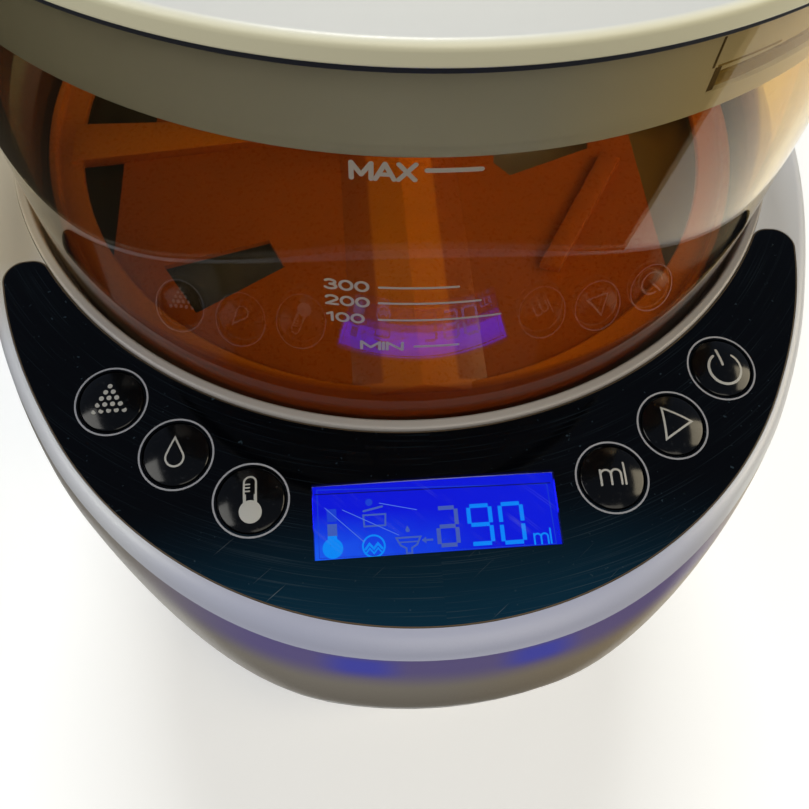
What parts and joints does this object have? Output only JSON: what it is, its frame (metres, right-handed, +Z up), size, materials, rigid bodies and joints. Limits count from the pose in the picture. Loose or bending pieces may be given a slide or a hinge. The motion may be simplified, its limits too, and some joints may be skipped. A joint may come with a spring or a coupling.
{
  "type": "infant formula maker",
  "caption": "Countertop formula maker: clear powder container with stirring wheel on a broad head, crescent control panel, slide-in funnel over a bottle bay, and a rear water tank.",
  "frame": {"origin": "on the standing surface, under the middle of the bounding box", "axes": "+Z up, +X to the right seen from the front, the control panel and bottle bay face -Y"},
  "size_m": [0.229, 0.337, 0.368],
  "materials": {
    "casing_white": "moulded, satin gloss",
    "base_white": "moulded, satin",
    "lid_white": "moulded, satin",
    "skirt_white": "moulded",
    "tub_clear": "clear smoky, polished",
    "wheel_amber": "translucent",
    "panel_black": "high gloss with fine brushing",
    "button_black": "gloss with printed ring",
    "display_lens": "clear, polished",
    "display_blue": "backlit glass",
    "seal_navy": "matte",
    "seal_grey": "matte",
    "feet_rubber": "matte",
    "board_green": "solder mask",
    "switch_black": "matte",
    "screw_steel": "plated",
    "axle_steel": "ground",
    "spring_steel": "drawn",
    "gear_nylon": "matte",
    "pinion_acetal": "matte",
    "motor_can": "zinc plated",
    "tray_grey": "matte",
    "part_white": "matte",
    "hose_silicone": "satin",
    "heater_metal": "cast",
    "tank_clear": "clear, pale blue",
    "float_orange": "matte",
    "stand_grey": "fine grain",
    "funnel_white": "moulded",
    "inlet_black": "matte"
  },
  "bodies": {
    "machine": {"base_shell": "base_white", "bottom_plate": "tray_grey", "rubber_feet": "feet_rubber", "base_screws": "screw_steel", "column_shell": "casing_white", "power_inlet": "inlet_black", "head_base": "casing_white", "head_cover": "casing_white", "container_well": "casing_white", "head_screws": "screw_steel", "panel_overlay": "panel_black", "lcd_window": "display_lens", "lcd_module": "display_blue", "control_board": "board_green", "key_switches": "switch_black", "board_screws": "screw_steel", "gear_tray": "tray_grey", "drive_axle": "axle_steel", "drive_motor": "motor_can", "powder_chute": "part_white", "chute_seal": "seal_grey", "water_nozzle": "part_white", "funnel_rails": "part_white", "funnel_switch": "switch_black", "tank_dock": "part_white", "dock_seal": "seal_grey", "pump_housing": "part_white", "pump_motor": "motor_can", "water_heater": "heater_metal", "heater_sensor": "axle_steel", "tank_hose": "hose_silicone", "heater_hose": "hose_silicone", "outlet_hose": "hose_silicone", "power_board": "board_green"},
    "powder_container": {"powder_tub": "tub_clear", "hub_seal": "seal_grey"},
    "stirring_wheel": {"stirring_wheel": "wheel_amber"},
    "container_lid": {"tub_lid": "lid_white", "lid_skirt": "skirt_white", "lid_seal": "seal_navy"},
    "drive_gear": {"drive_gear": "gear_nylon"},
    "motor_pinion": {"motor_pinion": "pinion_acetal"},
    "funnel": {"funnel_bowl": "funnel_white", "funnel_cover": "funnel_white"},
    "bottle_stand": {"bottle_stand": "stand_grey", "drip_grid": "stand_grey"},
    "water_tank": {"water_tank": "tank_clear", "valve_cage": "part_white", "valve_spring": "spring_steel", "lid_hinge_pins": "axle_steel"},
    "tank_lid": {"tank_lid": "lid_white"},
    "tank_valve": {"tank_valve": "part_white"},
    "tank_float": {"tank_float": "float_orange"},
    "pump_impeller": {"pump_impeller": "pinion_acetal"},
    "button_powder": {"button_powder": "button_black"},
    "button_water": {"button_water": "button_black"},
    "button_heat": {"button_heat": "button_black"},
    "button_volume": {"button_volume": "button_black"},
    "button_start": {"button_start": "button_black"},
    "button_power": {"button_power": "button_black"}
  },
  "joints": [
    {"name": "container_lift", "type": "slide", "parent": "machine", "child": "powder_container", "axis": [0, 0, 1], "range_m": [0, 0.14]},
    {"name": "lid_lift", "type": "slide", "parent": "powder_container", "child": "container_lid", "axis": [0, 0, 1], "range_m": [0, 0.06]},
    {"name": "drive_spin", "type": "hinge", "parent": "machine", "child": "drive_gear", "pos_m": [0, -0.01, 0.232], "axis": [0, 0, 1], "continuous": true},
    {"name": "wheel_spin", "type": "hinge", "parent": "powder_container", "child": "stirring_wheel", "pos_m": [0, -0.01, 0.25], "axis": [0, 0, 1], "continuous": true},
    {"name": "pinion_spin", "type": "hinge", "parent": "machine", "child": "motor_pinion", "pos_m": [0, 0.03335, 0.232], "axis": [0, 0, 1], "continuous": true},
    {"name": "funnel_slide", "type": "slide", "parent": "machine", "child": "funnel", "axis": [0, -1, 0], "range_m": [0, 0.17]},
    {"name": "stand_lift", "type": "slide", "parent": "machine", "child": "bottle_stand", "axis": [0, 0, 1], "range_m": [0, 0.05]},
    {"name": "tank_lift", "type": "slide", "parent": "machine", "child": "water_tank", "axis": [0, 0, 1], "range_m": [0, 0.3]},
    {"name": "tank_lid_hinge", "type": "hinge", "parent": "water_tank", "child": "tank_lid", "pos_m": [0, 0.1625, 0.3165], "axis": [-1, 0, 0], "range_deg": [0, 100]},
    {"name": "valve_travel", "type": "slide", "parent": "water_tank", "child": "tank_valve", "axis": [0, 0, 1], "range_m": [0, 0.0025], "stiffness_N_per_m": 250, "springref_m": -0.003, "deforming": ["valve_spring"]},
    {"name": "float_rise", "type": "slide", "parent": "water_tank", "child": "tank_float", "axis": [0, 0, 1], "range_m": [0, 0.018]},
    {"name": "impeller_spin", "type": "hinge", "parent": "machine", "child": "pump_impeller", "pos_m": [0.044, 0.084, 0.05], "axis": [0, 0, 1], "continuous": true},
    {"name": "press_powder", "type": "slide", "parent": "machine", "child": "button_powder", "axis": [-0.0654, -0.0837, 0.9943], "range_m": [-0.0008, 0], "stiffness_N_per_m": 400, "springref_m": 0.001},
    {"name": "press_water", "type": "slide", "parent": "machine", "child": "button_water", "axis": [-0.0501, -0.0937, 0.9943], "range_m": [-0.0008, 0], "stiffness_N_per_m": 400, "springref_m": 0.001},
    {"name": "press_heat", "type": "slide", "parent": "machine", "child": "button_heat", "axis": [-0.0342, -0.1006, 0.9943], "range_m": [-0.0008, 0], "stiffness_N_per_m": 400, "springref_m": 0.001},
    {"name": "press_volume", "type": "slide", "parent": "machine", "child": "button_volume", "axis": [0.0342, -0.1006, 0.9943], "range_m": [-0.0008, 0], "stiffness_N_per_m": 400, "springref_m": 0.001},
    {"name": "press_start", "type": "slide", "parent": "machine", "child": "button_start", "axis": [0.0501, -0.0937, 0.9943], "range_m": [-0.0008, 0], "stiffness_N_per_m": 400, "springref_m": 0.001},
    {"name": "press_power", "type": "slide", "parent": "machine", "child": "button_power", "axis": [0.0654, -0.0837, 0.9943], "range_m": [-0.0008, 0], "stiffness_N_per_m": 400, "springref_m": 0.001}
  ],
  "couplings": [
    {"joint": "wheel_spin", "follows": "drive_spin", "ratio": 1},
    {"joint": "pinion_spin", "follows": "drive_spin", "ratio": -3}
  ]
}
